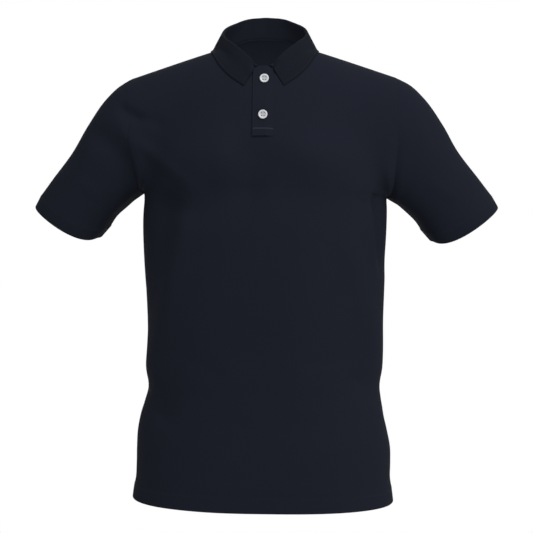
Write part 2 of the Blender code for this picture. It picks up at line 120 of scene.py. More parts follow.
# share of the length, top x, top y, top z, bottom x, bottom y, bottom z,
# reach in front, reach behind, lean of the front half away from the body
SLEEVE_MINUS = np.array([
    (0.0, 208.0, 4, -45.5, 191.0, 0, -222.0, 60, 64, 0),
    (0.1, 228.5, 5, -58.0, 199.0, 1, -227.0, 62, 65, 0),
    (0.2, 246.5, 6, -75.0, 207.5, 3, -232.5, 62, 64, 0),
    (0.4, 275.8, 8, -116.0, 222.0, 6, -245.0, 60, 61, 3),
    (0.6, 301.5, 10, -159.0, 236.5, 8, -258.5, 57, 58, 6),
    (0.8, 333.0, 12, -200.0, 247.5, 10, -275.0, 54, 54, 10),
    (1.0, 362.5, 14, -240.0, 260.0, 12, -294.0, 52, 52, 14)], float)
SLEEVE_PLUS = np.array([
    (0.0, 204.0, 4, -45.0, 190.77, 0, -231.0, 60, 64, 0),
    (0.1, 226.5, 5, -57.0, 199.5, 1, -236.0, 62, 65, 0),
    (0.2, 246.0, 6, -75.5, 208.0, 3, -240.5, 62, 64, 0),
    (0.4, 275.5, 8, -116.5, 222.5, 6, -252.5, 60, 61, 3),
    (0.6, 299.5, 10, -158.0, 237.0, 8, -267.0, 57, 58, 6),
    (0.8, 332.5, 12, -200.5, 247.5, 10, -282.5, 54, 54, 10),
    (1.0, 364.5, 14, -242.0, 259.0, 12, -300.0, 52, 52, 14)], float)

# share of the neck seam from the nape, fold x, y, z, leaf edge x, y, z
COLLAR = np.array([
    (0.00, 0.0, 61, 62.4, 0.0, 76, 17), (0.14, 27.0, 55, 58.8, 33.0, 69, 14),
    (0.28, 46.5, 41, 48.8, 58.0, 54, 7), (0.41, 60.5, 19, 36.8, 78.5, 24, -1),
    (0.50, 65.0, 2, 26.4, 83.0, 0, -4), (0.58, 65.0, -11, 19.0, 82.0, -18, -12),
    (0.66, 60.5, -23, 11.5, 75.5, -36, -24), (0.77, 49.3, -44, -0.5, 66.0, -58, -39),
    (0.89, 29.0, -62, -20.0, 50.0, -78, -55), (1.00, 11.0, -72, -41.0, 30.0, -90, -69)],
    float)

# start x, start z, end x, end z, width, depth (outwards): the main folds
FOLDS = {
    "front": (
        (-214, -178, -140, -262, 26, -7), (-138, -228, -186, -440, 24, -5),
        (-104, -215, -168, -480, 18, 4.5), (-219, -97, -186, -119, 9, -4.2),
        (190, -222, 145, -246, 14, -4), (122, -290, 170, -485, 20, 4),
        (182, -527, 118, -500, 17, -2), (-202, -512, -142, -560, 22, -5),
        (-90, -160, 90, -165, 40, 3)),
    "back": (
        (-188, -236, -120, -312, 20, -5), (185, -240, 120, -325, 22, -5),
        (-155, -500, 40, -545, 22, -5), (170, -515, 60, -580, 20, -5), (0, -70, 0, -330, 45, -5)),
}
# the same columns: smaller creases and slow swells that only the dressed cloth has
CREASES = {
    "front": (
        (-150, -184, -45, -180, 38, 7.5), (35, -172, 155, -182, 30, 4.5),
        (-120, -242, -15, -232, 30, -5.0), (22, -226, 120, -250, 34, -3.0),
        (118, -252, 186, -230, 28, -2.0), (-6, -165, -18, -240, 24, -3.5),
        (58, -330, 84, -690, 80, 8.0), (-158, -400, -120, -690, 40, -3.0),
        (-214, -130, -106, -221, 10, 2.8), (-152, -232, -98, -264, 18, -3.6),
        (-194, -112, -150, -126, 9, -1.8), (190, -215, 150, -240, 8, 1.6),
        (178, -545, 142, -530, 6, -1.0), (-182, -545, -138, -572, 7, -1.1),
        (-120, -470, -60, -500, 14, -1.2), (60, -480, 120, -470, 13, -1.1),
        (240, -110, 262, -150, 10, -1.2), (170, -237, 176, -335, 8, -9.0),
        (160, -232, 166, -330, 7, 3.5), (-198, -150, -188, -222, 11, 4.0),
        (-258, -132, -206, -178, 16, -4.2), (250, -215, 292, -232, 8, 1.0),
        (-286, -205, -250, -232, 9, 1.0)),
    "back": (
        (-180, -262, -140, -300, 8, 1.2), (178, -265, 146, -300, 8, 1.1),
        (-60, -505, 70, -528, 11, -1.3), (110, -545, 168, -532, 9, 1.0),
        (-165, -542, -96, -560, 9, 1.1), (-120, -95, -70, -180, 16, -1.2),
        (118, -100, 76, -170, 15, -1.2), (245, -130, 268, -175, 11, -1.3),
        (-250, -125, -262, -180, 11, -1.3)),
}
# button: distance from the axis, height above the placket of the face and of the underside
BUTTON = np.array([
    (0.0, 1.45, 0.0), (2.4, 1.47, 0.0), (3.8, 1.58, 0.0), (4.5, 1.82, 0.0), (5.1, 2.16, 0.02),
    (5.7, 2.3, 0.08), (6.3, 2.22, 0.2), (6.75, 1.9, 0.45), (7.0, 1.3, 0.8)], float)
BUTTON_SPOTS = ((0.7, -60.9), (-0.9, -116.8))
BUTTON_LIFT, BUTTON_COLUMNS, HOLE_OFFSET, HOLE_RADIUS = 1.0, 97, 1.95, 0.8
HOLE_WEAR, BUTTON_THREAD_HEIGHT, RIM_START = 0.12, 1.62, 0.0041

# width of the view at the shirt's middle, the camera's turn in degrees and what it looks at
VIEW_WIDTH, CAMERA_TURN, CAMERA_TARGET = 0.83148, 1.2, (0.0023, 0.0, -0.3377)
SENSOR_WIDTH, FLOOR_RADIUS, FLOOR_CORNERS = 36.0, 2.4, 96
# light, its place, what it is aimed at, its width (all in metres) and the power's property
LIGHTS = (
    ("Key", (1.0, -1.55, 2.0), (0.0, 0.0, -0.3), 2.2, "key"),
    ("Low", (1.5, -0.8, -0.9), (0.0, 0.0, -0.3), 1.0, "low"),
    ("Armpit", (-0.32, -0.5, -0.5), (0.0, 0.0, -0.3), 0.3, "armpit"),
    ("Back_light", (0.2, 2.2, 1.5), (0.0, 0.0, -0.3), 2.0, "back"),
    ("Inside", (0.0, -0.045, -0.13), (0.0, 0.07, 0.01), 0.1, "inside"))


# ---------------------------------------------------------------- sizes and colours

def setting(name, description, default, low, high, unit="NONE"):
    """A size or strength that can be changed, between its lowest and highest value."""
    return FloatProperty(name=name, description=description, default=default, min=low, max=high,
                         unit=unit)


def colour_setting(name, description, default):
    """A colour that can be changed, as red, green and blue."""
    return FloatVectorProperty(name=name, description=description, default=default, size=3,
                               min=0.0, max=1.0, subtype="COLOR")


class PoloSizes(bpy.types.PropertyGroup):
    """Sizes of the cloth and its stitching."""
    fold_strength: setting(
        "Fold strength", "Depth of the small creases beside the main folds", 1.0, 0.0, 2.0)
    hem_depth: setting(
        "Hem depth", "Height of the turned hem at the bottom and the cuffs",
        0.022, 0.01, 0.04, "LENGTH")
    seam_dip: setting(
        "Seam dip", "How far the cloth sinks where two pieces are sewn",
        0.0003, 0.0, 0.002, "LENGTH")
    stitch_pitch: setting(
        "Stitch pitch", "Distance from one stitch to the next", 0.003, 0.002, 0.006, "LENGTH")
    knit_pitch: setting(
        "Knit pitch", "Width of one rib of the knit", 0.0011, 0.0005, 0.003, "LENGTH")
    button_width: setting(
        "Button width", "Diameter of each button", 0.0135, 0.009, 0.014, "LENGTH")


class PoloColours(bpy.types.PropertyGroup):
    """Colours of the cloth, the thread and the buttons."""
    cloth: colour_setting(
        "Cloth", "Colour of the knit", (0.0053, 0.0063, 0.0100))
    collar: colour_setting(
        "Collar", "Colour of the collar's denser knit", (0.0041, 0.0048, 0.0075))
    thread: colour_setting(
        "Thread", "Colour of the stitching", (0.0066, 0.0078, 0.0119))
    # the bar's thread is coloured lighter than the other thread: its own colour with a painted
    # highlight along the bar
    bar_thread: colour_setting(
        "Bar thread", "Colour of the thick row across the placket", (0.0099, 0.0116, 0.0162))
    button: colour_setting(
        "Button", "Colour of the buttons", (0.2542, 0.2624, 0.2747))
    button_thread: colour_setting(
        "Button thread", "Colour of the thread through the buttons", (0.2000, 0.2080, 0.2240))


class PoloStudio(bpy.types.PropertyGroup):
    """The light, the floor and the camera."""
    sky: setting(
        "Sky", "Strength of the even white light from all round", 1.0, 0.0, 5.0)
    key: setting(
        "Key light", "Power of the large light in front, up to the right",
        144.0, 0.0, 1000.0, "POWER")
    low: setting(
        "Low light", "Power of the light from low down at the right", 9.0, 0.0, 100.0, "POWER")
    armpit: setting(
        "Armpit light", "Power of the small light under the right sleeve",
        0.25, 0.0, 10.0, "POWER")
    back: setting(
        "Back light", "Power of the light behind", 20.0, 0.0, 1000.0, "POWER")
    inside: setting(
        "Inside light", "Power of the small light inside the neck", 0.4, 0.0, 10.0, "POWER")
    distance: setting(
        "Camera distance", "From the camera to the shirt's middle", 1.6, 0.5, 10.0, "LENGTH")
    floor: setting(
        "Floor height", "Height of the pale floor", -1.45, -5.0, 0.0, "LENGTH")


# ---------------------------------------------------------------- shapes

def cubic(t, start, end, leaving, arriving):
    """Cubic from start (t 0) to end (t 1) that leaves and arrives with the given slopes."""
    return (start * (2 * t**3 - 3 * t**2 + 1) + end * (3 * t**2 - 2 * t**3)
            + leaving * (t**3 - 2 * t**2 + t) + arriving * (t**3 - t**2))


def eased(t):
    """From 0 to 1 with a soft start and a soft end: 3t^2 - 2t^3."""
    return t * t * (3 - 2 * t)


def fading(t):
    """From 1 far below zero to 0 far above it: 1 / (1 + e^t)."""
    return 1 / (1 + np.exp(np.clip(t, -40, 40)))


def bell(distance, width):
    """1 at distance 0 and nearly nothing past twice the width: e^-(distance/width)^2."""
    return np.exp(-(distance / width) ** 2)


def smooth(at, table, column):
    """Value of a table's column between its rows: a cubic through them with even slopes."""
    known, values = table[:, 0], table[:, column]
    slope = np.gradient(values, known)
    at = np.clip(at, known[0], known[-1])
    i = np.clip(np.searchsorted(known, at) - 1, 0, len(known) - 2)
    step = known[i + 1] - known[i]
    t = (at - known[i]) / step
    return cubic(t, values[i], values[i + 1], step * slope[i], step * slope[i + 1])


def stack(x, y, z):
    """Points from their three coordinates."""
    return np.stack(np.broadcast_arrays(x, y, z), axis=-1).astype(float)


def unit(v):
    """Directions brought to length 1."""
    return v / np.maximum(np.linalg.norm(v, axis=-1, keepdims=True), 1e-9)


def squared(direction, travel):
    """The part of each direction that is at right angles to the travel, at length 1."""
    return unit(direction - travel * (direction * travel).sum(axis=1, keepdims=True))


def steps(grid, axis):
    """Distance along the lines of a grid, or along a path, from the first row or column."""
    gap = np.linalg.norm(np.diff(grid, axis=axis), axis=-1)
    start = np.zeros_like(np.take(gap, [0], axis=axis))
    return np.concatenate([start, np.cumsum(gap, axis=axis)], axis=axis)


def from_sides(grid):
    """Distance across a grid from its first column, and from its last."""
    across = steps(grid, 1)
    return across, across[:, -1:] - across


def at_length(at, length, path):
    """Points of a path, or its directions, at the given lengths along it."""
    return np.stack([np.interp(at, length, path[:, k]) for k in range(3)], axis=1)


def ring(side, along, turn, front):
    """Sleeve: half an oval from under the arm (turn 0) over to the top (pi).

    The middle of the oval goes from the bottom line to the top line by half a cosine. Its
    reach to the front or back is a sine to a power that squares it off under the arm, and
    it leans outwards as the sleeve's table says.
    """
    table = SLEEVE_PLUS if side > 0 else SLEEVE_MINUS
    col = [smooth(along, table, k) for k in range(10)]
    top = stack(side * col[1], col[2], col[3])
    bottom = stack(side * col[4], col[5], col[6])
    axis = unit(np.array(SLEEVE_LEAN) * (side, 1, 1))
    reach = -col[7] if front else col[8]
    lean = col[9] if front else -col[9]
    sin, cos = np.sin(turn), np.cos(turn)
    middle = (top + bottom) / 2 - cos[..., None] * (top - bottom) / 2
    square = SLEEVE_SQUARE * (0.5 + 0.5 * np.clip(along / SQUARE_REACH, 0, 1)) * (1 + cos)
    deep = reach * np.clip(sin, 0, 1) ** (SLEEVE_ROUND - square)
    return middle + stack(0, deep, 0) + axis * (lean * sin * (1 + LOW_LEAN * cos))[..., None]


def edge(side, up, front):
    """Side seam below the armpit (up 0 to 1), then the armhole (1 to 2)."""
    hole = ring(side, np.zeros_like(up), np.pi * np.clip(up - 1, 0, 1), front)
    hem, armpit = (HEM_PLUS, ARMPIT_PLUS) if side > 0 else (HEM_MINUS, ARMPIT_MINUS)
    height = hem + np.clip(up, 0, 1) * (armpit - hem)
    below = stack(side * smooth(height, TORSO, 2 if side > 0 else 1), 0, height)
    return np.where((up > 1)[..., None], hole, below)


def centre(up, front):
    """Depth and height of the middle line: straight up, then a quarter of an oval."""
    drop = HEM_DROP_FRONT if front else HEM_DROP_BACK
    height = HEM - drop + np.clip(up, 0, 1) * (CHEST - HEM + drop)
    depth = smooth(height, TORSO, 3 if front else 4)
    turn = np.pi / 2 * np.clip(up - 1, 0, 1) ** LATE_BEND
    top = SHOULDER_TOP if front else SHOULDER_TOP + NAPE_RISE
    power = FRONT_ROUND if front else BACK_ROUND
    y = depth * np.clip(np.cos(turn), 0, 1) ** power
    z = np.where(up > 1, CHEST + (top - CHEST) * np.sin(turn) ** power, height)
    return (-y if front else y), z


def neck_share(side):
    """Where the neck's edge lies on the shoulder seam, as a share of its whole width."""
    return NECK_HALF_WIDTH / ring(side, np.zeros(1), np.full(1, np.pi), True)[0, 0] * side


def oval(across):
    """How far a squared-off oval falls from its middle (0) to its end (1)."""
    return 1 - (1 - np.clip(across, 0, 1) ** SQUARENESS) ** (1 / SQUARENESS)


def torso(side, across, up, front):
    """Torso: across 0 in the middle to 1 at the edge, up 0 at the hem to 2 at the shoulder.

    Depth goes from the middle line to the edge by a squared-off oval, of which only the
    flatter part is left above the chest. Height goes by a parabola at the chest that becomes
    the shoulder's slope further up. The armhole's own depth fades inwards from it.
    """
    end = edge(side, up, front)
    y_mid, z_mid = centre(up, front)
    v = np.clip(up - 1, 0, 1)
    w = np.clip(v / CHEST_FLAT, 0, 1)
    flat = w**3 * (6 * w**2 - 15 * w + 10)
    bow = (1 - flat) * oval(across) + flat * oval(across * FLAT_SHARE) / oval(FLAT_SHARE)
    outer = np.hypot(1, SHOULDER_CURVE)
    slope = (outer - np.hypot(across, SHOULDER_CURVE)) / (outer - SHOULDER_CURVE)
    if not front:
        rise = NAPE_RISE * (1 - np.clip(across / neck_share(side), 0, 1) ** 4) ** 2
        fall = SHOULDER_TOP - end[..., 2]
        slope = (fall * slope + rise) / (fall + NAPE_RISE)
    share = (1 - eased(v)) * (1 - across**2) + eased(v) * slope
    x = end[..., 0] * across
    climbed = np.clip(end[..., 2] - (ARMPIT_PLUS if side > 0 else ARMPIT_MINUS), 0, None)
    inwards = ARMHOLE_EASE * (abs(end[..., 0]) - abs(x))
    y_end = end[..., 1] * climbed**2 / (climbed**2 + inwards**2 + 1e-9)
    return stack(x, y_mid + (y_end - y_mid) * bow, end[..., 2] + (z_mid - end[..., 2]) * share)


def relief(points, folds):
    """Height of the folds: each is a ridge with a bell section that dies out at its ends."""
    total = np.zeros(points.shape[:-1])
    in_front = fading(points[..., 1] / FACE_BLEND)
    for face, share in (("front", in_front), ("back", 1 - in_front)):
        for x0, z0, x1, z1, width, depth in folds[face]:
            along = np.array([x1 - x0, z1 - z0], float)
            length = np.hypot(*along)
            along /= length
            dx, dz = points[..., 0] - x0, points[..., 2] - z0
            t = (dx * along[0] + dz * along[1]) / length
            off = dx * along[1] - dz * along[0]
            ends = np.clip((0.5 + FOLD_END - abs(t - 0.5)) / (2 * FOLD_END), 0, 1)
            total += depth * share * bell(off, width) * eased(ends)
    return total


def all_folds(points):
    """The main folds, and the small creases as deep as the shirt's properties say."""
    strength = bpy.context.scene.polo_sizes.fold_strength
    return relief(points, FOLDS) + relief(points, CREASES) * strength


def normals(grid, around=False):
    """Outward directions: the cross product of the differences along both parameters."""
    down = np.gradient(grid, axis=0)
    if around:
        wide = np.concatenate([grid[:, -1:], grid, grid[:, :1]], axis=1)
        along = np.gradient(wide, axis=1)[:, 1:-1]
    else:
        along = np.gradient(grid, axis=1)
    return unit(np.cross(along, down))


# ---------------------------------------------------------------- grids of the cloth

# rows upwards from the hem: close together at its edge and round its stitches, then evenly
HEM_STEPS = np.array([0, 0.4, 0.9, 1.6, 2.6, 4.5, 8, 12, 16, 18.6, 19.4, 20.2, 21, 21.8, 22.4,
                      23.2, 24.2, 25.6, 27.5])
HEIGHTS = np.concatenate([HEM + HEM_STEPS, np.linspace(HEM + 31, CHEST, 118)])
# shares of the climb from the chest to the shoulder, closer together at the shoulder seam
CLIMB = np.concatenate([np.linspace(0, 0.96, 66),
                        1 - np.array([.034, .028, .022, .017, .0125, .009, .006, .0035, .0015, 0])])
# columns as angles: across the neck, and from there to the side
NECK_TURN = np.radians(np.concatenate([[0, 3, 6], np.linspace(10, 90, 22)]))
SIDE_TURN = np.radians(np.concatenate([np.linspace(19, 82, 40), np.linspace(83, 90, 9)]))
# rings of a sleeve from the armhole, of which the last follow the hem's steps at the cuff, as
# shares of its 110 mm under the arm
CUFF_STEPS = HEM_STEPS / 110.0
SLEEVE_RINGS = np.concatenate([[0, .004, .008, .013, .02, .03], np.linspace(.045, .72, 46),
                               1 - CUFF_STEPS[::-1]])


def half_columns(side, front):
    """Across values of half a panel from the middle outwards, and the neck's cut."""
    turn, low = NECK_TURN, NECK_BACK
    if front:
        slit = math.asin(SLIT_HALF_WIDTH / NECK_HALF_WIDTH)
        turn, low = np.concatenate([[0, slit / 2, slit], NECK_TURN[3:]]), NECK_FRONT
    across = np.concatenate([neck_share(side) * np.sin(turn),
                             np.sin(SIDE_TURN) ** (2 / SQUARENESS)])
    cut = np.concatenate([1 - (1 - low) * np.cos(turn), np.ones(len(SIDE_TURN))])
    return across, cut


def panel(front):
    """Front or back panel: rows from the hem up, columns from -X to +X."""
    up_low = (HEIGHTS - HEM) / (CHEST - HEM)
    halves = []
    for side in (-1, 1):
        across, cut = half_columns(side, front)
        climb = CLIMB[1:, None] - (1 - cut[None, :]) * CLIMB[1:, None] ** 2
        up = np.concatenate([np.repeat(up_low[:, None], len(across), axis=1), 1 + climb])
        halves.append(torso(side, np.broadcast_to(across, up.shape), up, front))
    grid = np.concatenate([halves[0][:, :0:-1], halves[1]], axis=1)
    return grid if front else grid[:, ::-1]


def sleeve(side):
    """Sleeve rings from the armhole to the cuff, closed round the arm."""
    turn = np.pi * CLIMB
    along = np.broadcast_to(SLEEVE_RINGS[:, None], (len(SLEEVE_RINGS), len(turn)))
    fore = ring(side, along, np.broadcast_to(turn, along.shape), True)
    aft = ring(side, along, np.broadcast_to(turn, along.shape), False)
    grid = np.concatenate([fore, aft[:, -2:0:-1]], axis=1)
    return grid if side < 0 else grid[:, ::-1]


def share_out(*edges):
    """Give edges that meet in a seam one common direction."""
    both = unit(sum(edges))
    for part in edges:
        part[...] = both


def filled_seam(grid, name):
    """How far the cloth stands out beside the armhole, where the seam's layers fill it.

    Round the armhole it is a power of the sine of pi times a power of the climb, which is
    most at a third of the height. Away from the seam it fades by an exponential.
    """
    share = ARMHOLE_FILL * abs(np.sin(np.pi * CLIMB ** FILL_SKEW)) ** FILL_POWER
    if name.startswith("sleeve"):
        share = np.concatenate([share, share[-2:0:-1]])
        return share * np.exp(-steps(grid, 0) / ARMHOLE_REACH)
    total = np.zeros(grid.shape[:2])
    low = len(HEIGHTS) - 1
    for distance in from_sides(grid):
        total[low:] += share[:, None] * np.exp(-distance[low:] / ARMHOLE_REACH)
    return total


def seam_led(grid, out, name):
    """Outward directions that turn to the seam's own close to the armhole."""
    if name.startswith("sleeve"):
        near = bell(steps(grid, 0), SEAM_LEAD)[..., None]
        return unit(out * (1 - near) + out[:1] * near)
    left, right = (bell(distance, SEAM_LEAD)[..., None] for distance in from_sides(grid))
    return unit(out * (1 - left) * (1 - right) + out[:, :1] * left + out[:, -1:] * right)


def cloth_normals(grids):
    """Outward directions of the panels and sleeves, equal on both sides of a seam."""
    out = {name: normals(grid, name.startswith("sleeve")) for name, grid in grids.items()}
    front, back = out["front"], out["back"]
    low, count, seam = len(HEIGHTS) - 1, len(CLIMB), len(SIDE_TURN) + 1
    share_out(front[-1, :seam], back[-1, :-seam - 1:-1])
    share_out(front[-1, -seam:], back[-1, seam - 1::-1])
    for name, column in (("sleeve_right", 0), ("sleeve_left", -1)):
        fore, aft = front[:, column], back[:, -1 - column]
        share_out(fore[:low], aft[:low])
        loop = out[name][0] if column == 0 else out[name][0, ::-1]
        share_out(fore[low + 1:-1], loop[1:count - 1])
        share_out(aft[low + 1:-1], loop[:count - 1:-1])
        share_out(fore[low], aft[low], loop[0])
        share_out(fore[-1], aft[-1], loop[count - 1])
    return out


def rounded(distance, radius):
    """Half thickness near an edge as a share of the full one: a quarter circle."""
    t = 1 - np.clip(distance / radius, 0, 1)
    return np.maximum(np.sqrt(np.clip(1 - t * t, 0, 1)), EDGE_WALL)


class Cloth:
    """The front, back and sleeves with their folds, worked out once."""
    grids = None
    out = None

    @classmethod
    def form(cls):
        """Grids of the four pieces, and their outward directions."""
        if cls.grids is None:
            grids = {"front": panel(True), "back": panel(False),
                     "sleeve_right": sleeve(-1), "sleeve_left": sleeve(1)}
            plain = cloth_normals(grids)
            for name, grid in grids.items():
                lift = all_folds(grid) + filled_seam(grid, name)
                grids[name] = grid + seam_led(grid, plain[name], name) * lift[..., None]
            cls.grids, cls.out = grids, cloth_normals(grids)
        return cls.grids, cls.out


# ---------------------------------------------------------------- meshes

def volume(points, quads):
    """Volume inside closed faces, which is negative where they point inwards."""
    a, b, c, d = (points[quads[:, k]] for k in range(4))
    first = np.einsum("ij,ij->i", a, np.cross(b, c))
    second = np.einsum("ij,ij->i", a, np.cross(c, d))
    return float((first + second).sum()) / 6


def new_piece(name, points, quads, uv=None, flat=0):
    """Mesh object at the origin from millimetre points and four-cornered faces.

    The last faces, as many as flat says, are shaded flat, so that a rim keeps its corners.
    """
    if volume(points, quads) < 0:
        quads = quads[:, ::-1]
    mesh = bpy.data.meshes.new(name)
    mesh.from_pydata((points * 0.001).tolist(), [], quads.tolist())
    if uv is not None:
        corners = (uv[quads].reshape(-1, 2) * 0.001).astype(np.float32)
        mesh.uv_layers.new(name="Knit").uv.foreach_set("vector", corners.ravel())
    mesh.polygons.foreach_set("use_smooth", np.arange(len(quads)) < len(quads) - flat)
    mesh.update()
    item = bpy.data.objects.new(name, mesh)
    bpy.context.scene.collection.objects.link(item)
    return item


def wall(name, outer, inner, keep=None, around=False, uv=None):
    """Closed wall between two grids of the same shape, with the cells that are kept."""
    rows, cols = outer.shape[:2]
    last = cols if around else cols - 1
    if keep is None:
        keep = np.ones((rows - 1, last), bool)
    r, c = np.nonzero(keep)
    d = (c + 1) % cols
    top = np.stack([r * cols + c, r * cols + d, (r + 1) * cols + d, (r + 1) * cols + c], axis=1)
    shift = rows * cols
    starts, ends = top.ravel(), np.roll(top, -1, axis=1).ravel()
    alone = ~np.isin(starts * shift + ends, ends * shift + starts)
    a, b = starts[alone], ends[alone]
    rim = np.stack([b, a, a + shift, b + shift], axis=1)
    quads = np.concatenate([top, top[:, ::-1] + shift, rim])
    points = np.concatenate([outer.reshape(-1, 3), inner.reshape(-1, 3)])
    if uv is None:
        uv = np.stack([steps(outer, 1), steps(outer, 0)], axis=-1)
    uv = np.concatenate([uv.reshape(-1, 2)] * 2)
    used, quads = np.unique(quads, return_inverse=True)
    return new_piece(name, points[used], quads.reshape(-1, 4), uv[used], len(rim))


def dress(item, slot_name, material, *replaced):
    """Give a piece its finish, its body and the solids that it stands for."""
    item.data.materials.append(material)
    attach(item, "root")
    if replaced:
        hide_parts(*replaced)
    return item


def panel_relief(grid, name):
    """Wall's share near the free edges, how far hems stand out and seams sink in, and where
    the turned band is."""
    sizes = bpy.context.scene.polo_sizes
    hem, dip = sizes.hem_depth * 1000, sizes.seam_dip * 1000
    along = steps(grid, 0)
    if name.startswith("sleeve"):
        from_hem, from_seam = along[-1] - along, along
        height, taper = CUFF_BAND
    else:
        from_hem = along
        from_seam = np.minimum(np.minimum(*from_sides(grid)), along[-1] - along)
        height, taper = HEM_BAND
    # the band is 1 as far as the hem is turned up, and sinks at its two rows of stitches
    band = fading((from_hem - hem - 0.8) / 0.45)
    groove = sum(bell(from_hem - hem + row, ROW_WIDTH) for row in HEM_ROWS)
    turned = np.clip((hem - from_hem) / hem, 0, 1)
    raised = height * band - taper * turned - ROW_DEPTH * groove - dip * bell(from_seam, 2.0)
    return rounded(from_hem, 1.3), raised, band


# ---------------------------------------------------------------- materials

class Wire:
    """A value in a material's nodes, with arithmetic written as in Python."""

    def __init__(self, nodes, socket):
        self.nodes, self.socket = nodes, socket

    def maths(self, operation, *others):
        """This value and the others through one Math node."""
        return self.nodes.add("ShaderNodeMath", {"operation": operation}, self, *others)

    def __add__(self, other):
        return self.maths("ADD", other)

    __radd__ = __add__

    def __sub__(self, other):
        return self.maths("SUBTRACT", other)

    def __rsub__(self, other):
        return self.nodes.add("ShaderNodeMath", {"operation": "SUBTRACT"}, other, self)

    def __mul__(self, other):
        return self.maths("MULTIPLY", other)

    __rmul__ = __mul__


class Nodes:
    """The nodes of one material."""

    def __init__(self, name):
        self.material = bpy.data.materials.new(name)
        self.material.use_nodes = True
        self.tree = self.material.node_tree
        self.shader = self.tree.nodes["Principled BSDF"]

    def add(self, kind, settings, *values, output=0, numbered=(), **named):
        """A node of one kind: its settings first, then the values or links of its sockets.

        Plain values go to the first sockets in order, named ones to the socket of that name,
        and numbered ones to a socket's number, where two share a name.
        """
        node = self.tree.nodes.new(kind)
        for key, value in settings.items():
            setattr(node, key, value)
        for key, value in [*enumerate(values), *numbered, *named.items()]:
            socket = node.inputs[key if isinstance(key, int) else key.replace("_", " ")]
            if isinstance(value, Wire):
                self.tree.links.new(value.socket, socket)
            else:
                socket.default_value = value
        return Wire(self, node.outputs[output])

    def feed(self, **wires):
        """Link values to the shader's sockets."""
        for name, wire in wires.items():
            self.tree.links.new(wire.socket, self.shader.inputs[name.replace("_", " ")])

    def fixed(self, **values):
        """Set the shader's sockets that are the same all over."""
        for name, value in values.items():
            self.shader.inputs[name.replace("_", " ")].default_value = value

    def place(self):
        """Where a point lies on the shirt."""
        return self.add("ShaderNodeTexCoord", {}, output=3)

    def across_and_along(self):
        """Where a point lies on the flat cloth, or on the face of a button."""
        uv = self.add("ShaderNodeUVMap", {"uv_map": "Knit"})
        return (self.add("ShaderNodeSeparateXYZ", {}, uv, output=axis) for axis in (0, 1))

    def tint(self, colour, dark, light, share):
        """A colour from its dark to its light shade, by the share, as the base colour."""
        shades = [(*(channel * shade for channel in colour), 1.0) for shade in (dark, light)]
        self.feed(Base_Color=self.add("ShaderNodeMix", {"data_type": "RGBA"}, output=2,
                                      numbered=enumerate(shades, start=6), Factor=share))


def knit_material(name, colour, rib_scale=1.0):
    """Fine knit: ribs along the cloth, loops across them, and a slow change of tone."""
    nodes = Nodes(name)
    u, v = nodes.across_and_along()
    pitch = bpy.context.scene.polo_sizes.knit_pitch * rib_scale
    rib = (u * (2 * math.pi / pitch)).maths("SINE")
    loop = (v * (2 * math.pi / (pitch * 0.8)) + rib.maths("ABSOLUTE") * 1.6).maths("SINE")
    height = rib * 0.5 + loop * 0.35
    place = nodes.place()
    slow = nodes.add("ShaderNodeTexNoise", {}, Vector=place, Scale=9.0, Detail=3.0, Roughness=0.5)
    fuzz = nodes.add("ShaderNodeTexNoise", {}, Vector=place, Scale=900.0, Detail=2.0,
                     Roughness=0.6)
    nodes.tint(colour, 0.72, 1.28, height * 0.10 + slow * 0.22 + fuzz * 0.16 + 0.31)
    bump = nodes.add("ShaderNodeBump", {}, Strength=0.35, Distance=0.0003,
                     Height=height + fuzz * 0.8)
    nodes.feed(Normal=bump, Roughness=fuzz * 0.1 + 0.85)
    nodes.fixed(Specular_IOR_Level=0.02)
    return nodes.material


def thread_material(name, colour):
    """Twisted sewing thread: fine slanting ply and a soft gloss."""
    nodes = Nodes(name)
    twist = nodes.add("ShaderNodeTexWave", {"bands_direction": "DIAGONAL"}, output=1,
                      Vector=nodes.place(), Scale=900.0, Distortion=1.0)
    nodes.tint(colour, 0.8, 1.2, twist)
    nodes.feed(Normal=nodes.add("ShaderNodeBump", {}, Strength=0.3, Distance=0.0001,
                                Height=twist))
    nodes.fixed(Roughness=0.7, Specular_IOR_Level=0.06)
    return nodes.material


def button_material(name, colour):
    """Moulded button: faint marbled grain, a glossy rim and a duller middle, whose colour is darkened
    as painted shade in the dish.
    """
    nodes = Nodes(name)
    grain = nodes.add("ShaderNodeTexNoise", {}, Vector=nodes.place(), Scale=260.0, Detail=4.0,
                      Roughness=0.55, Distortion=0.8)
    u, v = nodes.across_and_along()
    past_rim = (u * u + v * v).maths("SQRT") - RIM_START
    rim = (past_rim * 900.0).maths("SMOOTH_MIN", 1.0, 0.2).maths("MAXIMUM", 0.0)
    # painted shade: the colour is darkest in the dish's middle and lightest at the rim
    nodes.tint(colour, 0.72, 1.08, rim * 0.85 + grain * 0.3 - 0.08)
    nodes.feed(Roughness=grain * 0.15 + 0.42 - rim * 0.2)
    nodes.fixed(Specular_IOR_Level=0.5)
    return nodes.material


def finish(name, make, colour, *values):
    """A finish in the named colour of the shirt's properties, made once and then shared."""
    colours = bpy.context.scene.polo_colours
    return bpy.data.materials.get(name) or make(name, getattr(colours, colour), *values)


def knit():
    """The shirt's knit."""
    return finish("navy_knit", knit_material, "cloth")


def collar_knit():
    """The collar's knit, with wider ribs."""
    return finish("navy_collar_knit", knit_material, "collar", 1.4)


# ---------------------------------------------------------------- pieces of the shirt

def slit_cells(grid):
    """Cells that stay in the front: all but those between the two sides of the slit."""
    keep = np.ones((grid.shape[0] - 1, grid.shape[1] - 1), bool)
    first = len(HEIGHTS) - 1 + int(np.argmin(abs(CLIMB - SLIT_ROW)))
    middle = grid.shape[1] // 2
    keep[first:, middle - 2:middle + 2] = False
    return keep


